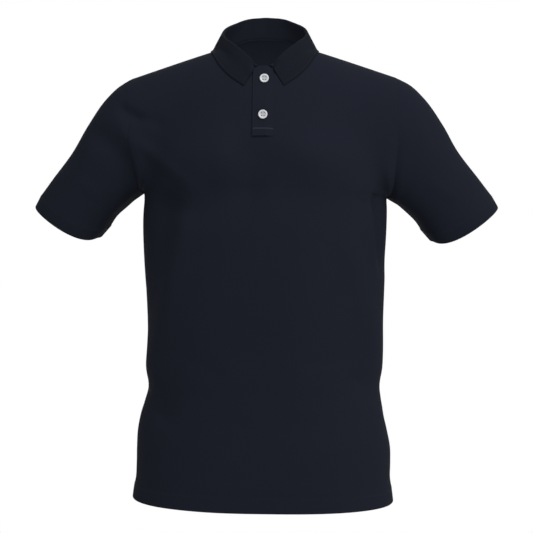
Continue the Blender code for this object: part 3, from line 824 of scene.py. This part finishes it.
def skins(name):
    """Outer and inner surface of a panel or sleeve, and its outward directions."""
    grids, out = Cloth.form()
    grid, away = grids[name], out[name]
    share, raised, band = panel_relief(grid, name)
    middle = grid + away * (raised - WALL / 2)[..., None]
    half, inner_half = (share * (WALL / 2 + extra) for extra in (0, DOUBLED * band))
    return middle + away * half[..., None], middle - away * inner_half[..., None], away


def cloth_piece(name):
    """One panel or sleeve as a wall on its form, standing in for the solid of the same name, which is
    hidden.
    """
    outer, inner, _ = skins(name)
    around = name.startswith("sleeve")
    keep = slit_cells(outer) if name == "front" else None
    item = wall(name + "_cloth", outer, inner, keep, around)
    dress(item, "knit", knit(), name)


def settled(points, ground, up, fall):
    """The collar's leaf laid on the ground: each point is moved out until it is the leaf's
    gap above the nearest ground point, or in to that height by no more than its fall."""
    flat = points.reshape(-1, 3)
    near = np.argmin(((flat[:, None] - ground[None]) ** 2).sum(axis=2), axis=1)
    height = np.einsum("ij,ij->i", flat - ground[near], up[near])
    lift = np.clip(LEAF_OFF_CLOTH - height, -fall.ravel(), None)
    return (flat + up[near] * lift[:, None]).reshape(points.shape)


def resample(grid, rows, cols):
    """The same surface at other rows and columns, by a cubic through the ones that it has."""
    for axis, at in ((0, rows), (1, cols)):
        moved = np.moveaxis(grid, axis, 0)
        slope = np.gradient(moved, axis=0)
        i = np.clip(at.astype(int), 0, len(moved) - 2)
        t = (at - i).reshape(-1, 1, 1)
        grid = np.moveaxis(cubic(t, moved[i], moved[i + 1], slope[i], slope[i + 1]), 0, axis)
    return grid


def neck_line(side):
    """Neck seam from the nape to the end of the collar in front, evenly spaced."""
    end = math.asin(SLIT_HALF_WIDTH / NECK_HALF_WIDTH)
    halves = []
    for front, low, first, last in ((False, NECK_BACK, 0, np.pi / 2),
                                    (True, NECK_FRONT, np.pi / 2, end)):
        turn = np.linspace(first, last, 200)
        across = neck_share(side) * np.sin(turn)
        halves.append(torso(side, across, 2 - (1 - low) * np.cos(turn), front))
    path = np.concatenate([halves[0], halves[1][1:]])
    length = steps(path, 0)
    return at_length(np.linspace(0, length[-1], NECK_POINTS), length, path)


def collar_form(ground, ground_normals):
    """Stand, fold and leaf as one strip: columns round the neck, rows from seam to edge.

    The stand is straight from the seam to the fold, the fold is half a circle, and the
    leaf falls straight to its edge, which lies on the cloth in front.
    """
    share = np.linspace(0, 1, COLLAR_COLUMNS)
    sides = []
    for side in (-1, 1):
        line = neck_line(side)
        seam = at_length(share, np.linspace(0, 1, len(line)), line)
        fold, leaf = (np.stack([smooth(share, COLLAR, k) for k in columns], axis=1)
                      for columns in ((1, 2, 3), (4, 5, 6)))
        sides.append((seam, fold * (side, 1, 1), leaf * (side, 1, 1)))
    seam, fold, leaf = (np.concatenate([a[:0:-1], b]) for a, b in zip(*sides))
    run = unit(np.gradient(fold, axis=0))
    rise = squared(fold - seam + np.array(COLLAR_RISE), run)
    out = np.cross(run, rise)
    out *= np.sign((out * (leaf - seam)).sum(axis=1, keepdims=True))
    foot, head = seam + rise * COLLAR_FOOT, fold - out * COLLAR_FOLD_RADIUS
    start = fold + out * COLLAR_FOLD_RADIUS
    stand = np.stack([foot + (head - foot) * t for t in (0.0, 0.35, 0.7)])
    bend = np.stack([fold + (rise * math.sin(t) - out * math.cos(t)) * COLLAR_FOLD_RADIUS
                     for t in np.linspace(0, math.pi, 6)])
    down = np.array([0.2, 0.4, 0.6, 0.8, 1.0])[:, None]
    in_front = np.clip((np.concatenate([share[:0:-1], share]) - LEAF_LAID) / 0.2, 0, 1)
    fall = start + (leaf - start) * down[..., None]
    for _ in range(2):
        fall = settled(fall, ground, ground_normals, LEAF_FALL * down**2 * in_front)
    return np.concatenate([stand, bend, fall])


def strip(x_values, z_values, lift):
    """Band of the torso's front between the given sides and heights, moved out by the lift."""
    up = np.linspace(1, 2, 400)
    at = np.interp(z_values, centre(up, True)[1], up)
    halves = []
    for side, x in ((-1, x_values[x_values < 0]), (1, x_values[x_values >= 0])):
        width = abs(edge(side, at, True)[:, :1])
        rows = np.repeat(at[:, None], len(x), axis=1)
        halves.append(torso(side, abs(x)[None, :] / width, rows, True))
    grid = np.concatenate(halves, axis=1)
    grid = grid + normals(grid) * relief(grid, FOLDS)[..., None]
    out = normals(grid)
    return grid + out * lift, out


def band_piece(name, grid, out, thick, raised, distance):
    """Folded band as a wall with rounded edges, and where the thread lies on it."""
    middle = grid + out * (raised - WALL / 2)[..., None]
    half = (thick / 2 * rounded(distance, 1.0))[..., None]
    item = wall(name, middle + out * half, middle - out * half)
    return item, grid + out * (raised - WALL / 2 + thick / 2 + THREAD_LIFT)[..., None]


def dense(start, end, count):
    """Values from start to end, closer together near both ends."""
    fine = np.array([0, 0.35, 0.8, 1.3, 1.9, 2.6])
    return np.concatenate([start + fine, np.linspace(start + 3.4, end - 3.4, count),
                           (end - fine)[::-1]])


def line_at(grid, distance, at):
    """Line across a grid where the distance down its columns has the given value."""
    columns = np.arange(grid.shape[1])
    i = np.clip((distance < at).sum(axis=0) - 1, 0, len(grid) - 2)
    low, high = distance[i, columns], distance[i + 1, columns]
    t = ((at - low) / np.maximum(high - low, 1e-9))[:, None]
    return grid[i, columns] * (1 - t) + grid[i + 1, columns] * t


def paced(path, up, pitch, start=1.0):
    """Places at even steps along a path, with the direction of travel and the way up."""
    length = steps(path, 0)
    at = np.arange(start, length[-1] - 0.5, pitch)
    place, way = (at_length(at, length, line) for line in (path, up))
    travel = unit(np.gradient(place, axis=0))
    return place, travel, squared(way, travel)


def tube_faces(rings, sides):
    """Faces of a closed tube: four-cornered ones between its rings, and a fan at each end."""
    r, k = (a.ravel() for a in np.meshgrid(np.arange(rings - 1) * sides, np.arange(sides),
                                           indexing="ij"))
    after = (k + 1) % sides
    skin = np.stack([r + k, r + after, r + sides + after, r + sides + k], axis=1)
    first = np.arange(1, sides - 1, 2)
    fan = np.stack([first + 2, first + 1, first, 0 * first], axis=1)
    return np.concatenate([skin, fan, fan[:, ::-1] + sides * (rings - 1)])


def lozenges(place, travel, way, long, wide, high):
    """Rows of rounded stitches: six-sided bars with narrow ends, one at each place."""
    turn = np.arange(6) * np.pi / 3
    ends, full = np.array([-1, -0.7, 0.7, 1]), np.array([0.4, 1, 1, 0.4])
    u = np.repeat(ends, 6) * long / 2
    v = np.outer(full, np.cos(turn)).ravel() * wide / 2
    w = np.outer(full, np.sin(turn)).ravel() * high / 2
    side = np.cross(way, travel)
    points = (place[:, None] + travel[:, None] * u[:, None] + side[:, None] * v[:, None]
              + way[:, None] * w[:, None])
    quads = tube_faces(4, 6) + 4 * 6 * np.arange(len(place))[:, None, None]
    return points.reshape(-1, 3), quads.reshape(-1, 4)


def sew(name, lines, long=2.2, wide=0.5, high=0.45, thread="thread", slot_name="knit"):
    """One piece of thread with a stitch at each place of every line."""
    parts, faces, count = [], [], 0
    for place, travel, way in lines:
        points, quads = lozenges(place, travel, way, long, wide, high)
        parts.append(points)
        faces.append(quads + count)
        count += len(points)
    item = new_piece(name, np.concatenate(parts), np.concatenate(faces))
    return dress(item, slot_name, finish(thread, thread_material, thread))


def tube(name, path, up, wide, high):
    """Oval bead along a path, closed at both ends."""
    travel = unit(np.gradient(path, axis=0))
    up = squared(up, travel)
    side = np.cross(up, travel)
    turn = np.arange(8) * np.pi / 4
    ring_number = np.arange(len(path))
    thin = rounded(np.minimum(ring_number, ring_number[::-1]), 3.0)[:, None, None]
    grid = (path[:, None] + side[:, None] * (np.cos(turn) * wide / 2)[:, None] * thin
            + up[:, None] * (np.sin(turn) * high / 2)[:, None] * thin)
    uv = np.stack(np.meshgrid(ring_number * 2.0, np.arange(8) * 0.6, indexing="ij"), axis=-1)
    return new_piece(name, grid.reshape(-1, 3), tube_faces(len(path), 8), uv.reshape(-1, 2))


def button_place(x, z):
    """Middle of a button on the placket, its directions to the right, up and outwards."""
    around = np.array([-4.0, 0.0, 4.0])
    base, out = strip(x + around, z + around, PLACKET_LIFT + BUTTON_LIFT)
    face = unit(out[1, 1] + (0, -1, 0))
    right = unit(np.cross((0, 0, 1.0), face))
    return base[1, 1], right, np.cross(face, right), face


def button_piece(name, x, z):
    """Moulded button on a square grid pressed into a disc, with four holes cut through."""
    line = np.linspace(-1, 1, BUTTON_COLUMNS)
    u, v = np.meshgrid(line, line)
    radius = bpy.context.scene.polo_sizes.button_width * 1000 / 2
    u, v = u * np.sqrt(1 - v * v / 2) * radius, v * np.sqrt(1 - u * u / 2) * radius
    mid_u, mid_v = (0.25 * (a[1:, 1:] + a[:-1, 1:] + a[1:, :-1] + a[:-1, :-1]) for a in (u, v))
    keep = np.hypot(abs(mid_u) - HOLE_OFFSET, abs(mid_v) - HOLE_OFFSET) > HOLE_RADIUS
    cut = np.pad(~keep, 1)
    around = cut[1:, 1:].astype(int) + cut[:-1, 1:] + cut[1:, :-1] + cut[:-1, :-1]
    from_u, from_v = abs(u) - HOLE_OFFSET, abs(v) - HOLE_OFFSET
    off = np.hypot(from_u, from_v)
    snap = np.where((around > 0) & (around < 4), HOLE_RADIUS / np.maximum(off, 1e-6), 1)
    u = np.sign(u) * (HOLE_OFFSET + from_u * snap)
    v = np.sign(v) * (HOLE_OFFSET + from_v * snap)
    reach = np.hypot(u, v) * BUTTON[-1, 0] / radius
    from_hole = np.hypot(abs(u) - HOLE_OFFSET, abs(v) - HOLE_OFFSET) - HOLE_RADIUS
    worn = HOLE_WEAR * bell(from_hole, 0.2)
    middle, right, top, face = button_place(x, z)
    flat = middle + u[..., None] * right + v[..., None] * top
    upper = flat + (smooth(reach, BUTTON, 1) - worn)[..., None] * face
    lower = flat + smooth(reach, BUTTON, 2)[..., None] * face
    item = wall(name + "_moulded", upper, lower, keep, uv=np.stack([u, v], axis=-1))
    dress(item, "button", finish("button_plastic", button_material, "button"), name)
    place = np.stack([middle + top * y + face * BUTTON_THREAD_HEIGHT
                      for y in (HOLE_OFFSET, -HOLE_OFFSET)])
    return place, np.stack([right, right]), np.stack([face, face])


# ---------------------------------------------------------------- operators

class POLO_OT_panels(bpy.types.Operator):
    """Build the front and back panels with their turned hem"""
    bl_idname = "polo.panels"
    bl_label = "Front and back"

    def execute(self, context):
        cloth_piece("front")
        cloth_piece("back")
        return {"FINISHED"}


class POLO_OT_sleeves(bpy.types.Operator):
    """Build the two sleeves with their turned cuffs"""
    bl_idname = "polo.sleeves"
    bl_label = "Sleeves"

    def execute(self, context):
        for name in ("sleeve_right", "sleeve_left"):
            cloth_piece(name)
        return {"FINISHED"}


class POLO_OT_collar(bpy.types.Operator):
    """Build the collar as one folded strip"""
    bl_idname = "polo.collar"
    bl_label = "Collar"

    def execute(self, context):
        form = collar_form(*self.ground())
        fine = np.array([0, 0.03, 0.07, 0.12, 0.19, 0.28, 0.4])
        last_row, last_col = form.shape[0] - 1, form.shape[1] - 1
        rows = np.concatenate([fine, np.linspace(0.6, last_row - 0.8, 70),
                               last_row - fine[::-1]])
        cols = np.concatenate([fine / 2, np.linspace(0.35, last_col - 0.35, 190),
                               last_col - fine[::-1] / 2])
        grid = resample(form, rows, cols)
        away = normals(grid)
        away *= np.sign(away[30, away.shape[1] // 2, 2])
        ends, across = from_sides(grid), steps(grid, 0)
        from_edge = across[-1] - across
        distance = np.minimum(from_edge, np.minimum(*ends))
        leaf = (rows > LEAF_ROW)[:, None]
        # the leaf sinks at its stitches and lies closer at its edges
        sunk = 0.2 * bell(distance - COLLAR_STITCH, 0.6) + 0.5 * bell(distance, 3.0)
        item, top = band_piece("collar_cloth", grid, away, COLLAR_WALL, 0.25 - sunk * leaf,
                               distance)
        dress(item, "collar_knit", collar_knit(), "collar")
        self.stitch(context, *(a[rows > FOLD_ROW] for a in (top, away, from_edge, *ends)))
        self.neck_seam()
        return {"FINISHED"}

    @staticmethod
    def ground():
        """Points near the neck that the collar lies on, and their outward directions."""
        chest = len(HEIGHTS) - 1
        lap = strip(np.linspace(PLACKET_LEFT, PLACKET_RIGHT, 16),
                    np.linspace(PLACKET_HEM, PLACKET_TOP, 30), PLACKET_LIFT)
        points, up = (
            np.concatenate([*(panels[k][chest::2, ::2].reshape(-1, 3) for k in ("front", "back")),
                            placket.reshape(-1, 3)])
            for panels, placket in zip(Cloth.form(), lap))
        near = (points[:, 2] > -NECK_REACH) & (abs(points[:, 0]) < NECK_REACH)
        return points[near], up[near]

    @staticmethod
    def stitch(context, top, away, from_edge, from_start, from_end):
        """A row of stitches along the leaf's edge and up both of its ends."""
        pitch = context.scene.polo_sizes.stitch_pitch * 1000
        inside = np.minimum(from_start[-1], from_end[-1]) > COLLAR_STITCH + 0.5
        line = [line_at(a[::-1], from_edge[::-1], COLLAR_STITCH)[inside] for a in (top, away)]
        lines = [paced(*line, pitch)]
        for way, reach in ((1, from_start), (-1, from_end)):
            rows = from_edge[:, ::way][:, 0] > COLLAR_STITCH
            side = [line_at(np.swapaxes(a[rows, ::way], 0, 1), reach[rows, ::way].T,
                            COLLAR_STITCH) for a in (top, away)]
            lines.append(paced(*side, pitch))
        sew("collar_stitches", lines, slot_name="collar_knit")

    @staticmethod
    def neck_seam():
        """The bead round the inside of the neck, where its seam is covered."""
        sides = [neck_line(side) for side in (-1, 1)]
        path = np.concatenate([sides[0][:0:-1], sides[1]])
        inwards = unit(np.array([0, -5.0, 0]) - path * (1, 1, 0))
        item = tube("neck_seam_bead", path + inwards * 1.5 + (0, 0, -0.6),
                    np.broadcast_to([0, 0, 1.0], path.shape), wide=1.8, high=3.0)
        dress(item, "collar_knit", collar_knit())


class POLO_OT_placket(bpy.types.Operator):
    """Build the two bands of the placket"""
    bl_idname = "polo.placket"
    bl_label = "Placket"

    def execute(self, context):
        pitch = context.scene.polo_sizes.stitch_pitch * 1000
        for name, margin, top, lift in (
                ("placket_upper", 0.0, PLACKET_TOP, PLACKET_LIFT),
                ("placket_under", 1.5, PLACKET_TOP - 2, -2 * SEAM - WALL)):
            x = dense(PLACKET_LEFT + margin, PLACKET_RIGHT - margin, 18)
            z = dense(PLACKET_HEM, top, 60)
            grid, out = strip(x, z, lift)
            late = np.clip((z - top) / RISE_LENGTH + 1, 0, 1)[:, None] ** 2
            rise = PLACKET_RISE * late * (1 - (x / PLACKET_LEFT) ** 2)
            grid = grid + rise[..., None] * np.array([0, 0.35, 1])
            (along, from_right), up = from_sides(grid), steps(grid, 0)
            distance = np.minimum(np.minimum(along, from_right), np.minimum(up, up[-1:] - up))
            # the band stands out below its bar, and is flat where it is sewn to the front
            low = fading((z - PLACKET_STITCH + 1.4) / 0.6)[:, None]
            sewn = eased(np.clip(1 - from_right / PLACKET_FLAT, 0, 1)) * (lift > 0)
            thick = WALL - (WALL - FLAT_WALL) * sewn
            raised = 0.5 * low - 0.2 * bell(along - PLACKET_ROW, 0.5) - FLAT_DEPTH * sewn
            item, surface = band_piece(name + "_cloth", grid, out, thick, raised, distance)
            dress(item, "knit", knit(), name)
            if lift > 0:
                self.stitch(surface, out, along, up, pitch)
        return {"FINISHED"}

    @staticmethod
    def stitch(surface, out, along, up, pitch):
        """Rows of stitches up the free side and across the foot, and the thick bar above."""
        keep = (up[:, 0] > PLACKET_ROW) & (up[:, 0] < up[-1, 0] - PLACKET_ROW)
        inside = (along[0] > PLACKET_ROW) & (along[0] < along[0, -1] - 1.5)
        side = [line_at(np.swapaxes(a, 0, 1), along.T, PLACKET_ROW)[keep]
                for a in (surface, out)]
        foot = [line_at(a, up, PLACKET_ROW)[inside] for a in (surface, out)]
        bar = [line_at(a, up, PLACKET_STITCH - 1.2 - PLACKET_HEM) for a in (surface, out)]
        sew("placket_stitches", [paced(*side, pitch), paced(*foot, pitch)])
        # the bar's thread colour is lighter, a painted highlight along the bar
        sew("placket_bar", [paced(*bar, pitch=1.3, start=1.6)], long=1.5, wide=2.6, high=1.0,
            thread="bar_thread")


class POLO_OT_stitches(bpy.types.Operator):
    """Sew the twin rows of stitches round the hem and the cuffs"""
    bl_idname = "polo.stitches"
    bl_label = "Hem stitching"

    def execute(self, context):
        sizes = context.scene.polo_sizes
        pitch, hem = sizes.stitch_pitch * 1000, sizes.hem_depth * 1000
        grids, _ = Cloth.form()
        for name in ("front", "back", "sleeve_right", "sleeve_left"):
            outer, _, away = skins(name)
            distance = steps(grids[name], 0)
            if name.startswith("sleeve"):
                outer, away = (np.concatenate([a, a[:, :1]], axis=1)[::-1] for a in (outer, away))
                distance = np.concatenate([distance, distance[:, :1]], axis=1)
                distance = (distance[-1] - distance)[::-1]
            lines = []
            for number, row in enumerate(HEM_ROWS):
                line = [line_at(a, distance, hem - row) for a in (outer, away)]
                lines.append(paced(*line, pitch, 1.0 + number * pitch / 2))
            sew(name + "_stitches", lines)
        return {"FINISHED"}


class POLO_OT_buttons(bpy.types.Operator):
    """Mould the two buttons and sew them on"""
    bl_idname = "polo.buttons"
    bl_label = "Buttons"

    def execute(self, context):
        threads = [button_piece(name, x, z) for name, (x, z)
                   in zip(("button_upper", "button_lower"), BUTTON_SPOTS)]
        sew("button_threads", threads, long=5.0, wide=0.8, high=0.7, thread="button_thread",
            slot_name="button")
        return {"FINISHED"}


class POLO_OT_stage(bpy.types.Operator):
    """Set the floor, the lights, the sky and the camera"""
    bl_idname = "polo.stage"
    bl_label = "Stage"

    def execute(self, context):
        scene = context.scene
        studio = scene.polo_studio
        self.floor(studio.floor)
        scene.world = scene.world or bpy.data.worlds.new("Sky")
        scene.world.use_nodes = True
        sky = scene.world.node_tree.nodes["Background"]
        sky.inputs["Color"].default_value = (1, 1, 1, 1)
        sky.inputs["Strength"].default_value = studio.sky
        for name, place, target, width, power in LIGHTS:
            data = bpy.data.lights.new(name, "AREA")
            data.energy, data.size = getattr(studio, power), width
            self.aim(name, data, place, target)
        turn = math.radians(CAMERA_TURN)
        away = np.array([math.sin(turn), -math.cos(turn), 0.0]) * studio.distance
        data = bpy.data.cameras.new("Camera")
        data.sensor_width = SENSOR_WIDTH
        data.lens = SENSOR_WIDTH * studio.distance / VIEW_WIDTH
        scene.camera = self.aim("Camera", data, CAMERA_TARGET + away, CAMERA_TARGET)
        scene.view_settings.view_transform = "Standard"
        return {"FINISHED"}

    @staticmethod
    def aim(name, data, place, target):
        """A light or the camera at its place, turned to look at the target."""
        item = bpy.data.objects.new(name, data)
        bpy.context.scene.collection.objects.link(item)
        item.location = place
        direction = np.subtract(target, place)
        item.rotation_euler = (math.atan2(np.hypot(*direction[:2]), -direction[2]), 0,
                               math.atan2(direction[1], direction[0]) - math.pi / 2)
        return item

    @staticmethod
    def floor(height):
        """A pale round floor, in metres."""
        nodes = Nodes("pale_floor")
        nodes.fixed(Base_Color=(0.9, 0.9, 0.9, 1), Roughness=0.9, Specular_IOR_Level=0.1)
        turn = np.linspace(0, 2 * np.pi, FLOOR_CORNERS, endpoint=False)
        points = stack(FLOOR_RADIUS * np.cos(turn), FLOOR_RADIUS * np.sin(turn), height)
        mesh = bpy.data.meshes.new("Floor")
        mesh.from_pydata(points.tolist(), [], [list(range(FLOOR_CORNERS))])
        item = bpy.data.objects.new("Floor", mesh)
        bpy.context.scene.collection.objects.link(item)
        mesh.materials.append(nodes.material)


PIECES = (POLO_OT_panels, POLO_OT_sleeves, POLO_OT_collar, POLO_OT_placket, POLO_OT_stitches,
          POLO_OT_buttons, POLO_OT_stage)


class POLO_PT_panel(bpy.types.Panel):
    """Sizes, colours and pieces of the polo shirt"""
    bl_label = "Polo shirt"
    bl_idname = "POLO_PT_panel"
    bl_space_type = "VIEW_3D"
    bl_region_type = "UI"
    bl_category = "Polo shirt"

    def draw(self, context):
        for group in (context.scene.polo_sizes, context.scene.polo_colours,
                      context.scene.polo_studio):
            box = self.layout.box()
            for key in group.__annotations__:
                box.prop(group, key)
        for piece in PIECES:
            self.layout.operator(piece.bl_idname)


CLASSES = (PoloSizes, PoloColours, PoloStudio, *PIECES, POLO_PT_panel)


def register():
    for cls in CLASSES:
        bpy.utils.register_class(cls)
    bpy.types.Scene.polo_sizes = PointerProperty(type=PoloSizes)
    bpy.types.Scene.polo_colours = PointerProperty(type=PoloColours)
    bpy.types.Scene.polo_studio = PointerProperty(type=PoloStudio)


def unregister():
    del bpy.types.Scene.polo_studio, bpy.types.Scene.polo_colours, bpy.types.Scene.polo_sizes
    for cls in reversed(CLASSES):
        bpy.utils.unregister_class(cls)


def main():
    register()
    bpy.ops.polo.stage()
    bpy.ops.polo.panels()
    bpy.ops.polo.sleeves()
    bpy.ops.polo.collar()
    bpy.ops.polo.placket()
    bpy.ops.polo.stitches()
    bpy.ops.polo.buttons()


if __name__ == "__main__":
    main()
